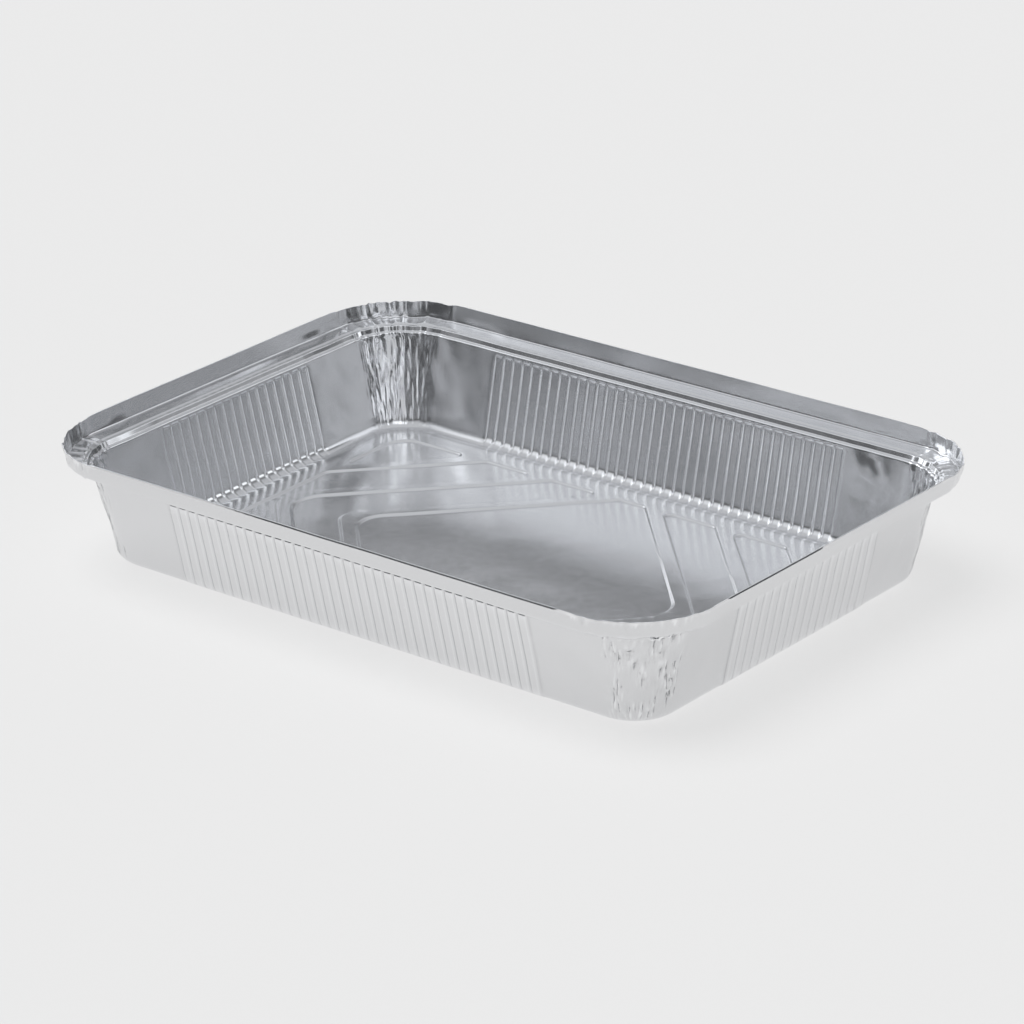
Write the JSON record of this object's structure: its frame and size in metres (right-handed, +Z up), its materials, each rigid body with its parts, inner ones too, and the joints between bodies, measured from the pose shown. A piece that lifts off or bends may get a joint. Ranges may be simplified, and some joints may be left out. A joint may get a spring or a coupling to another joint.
{
  "type": "aluminium foil tray",
  "caption": "Oblong one-piece aluminium foil catering tray with ribbed sloping walls, a stepped flat ledge, an upright hemmed rim and a base pressed with chevron panels.",
  "frame": {"origin": "on the supporting surface, below the middle of the tray", "axes": "+X along the long side, +Y along the short side, +Z up, out of the open top"},
  "size_m": [0.32, 0.23, 0.0524],
  "materials": {
    "foil": "bright rolled aluminium foil, softly reflective, fine wrinkles at the pressed corners"
  },
  "bodies": {
    "root": {"tray": "foil"}
  },
  "joints": []
}
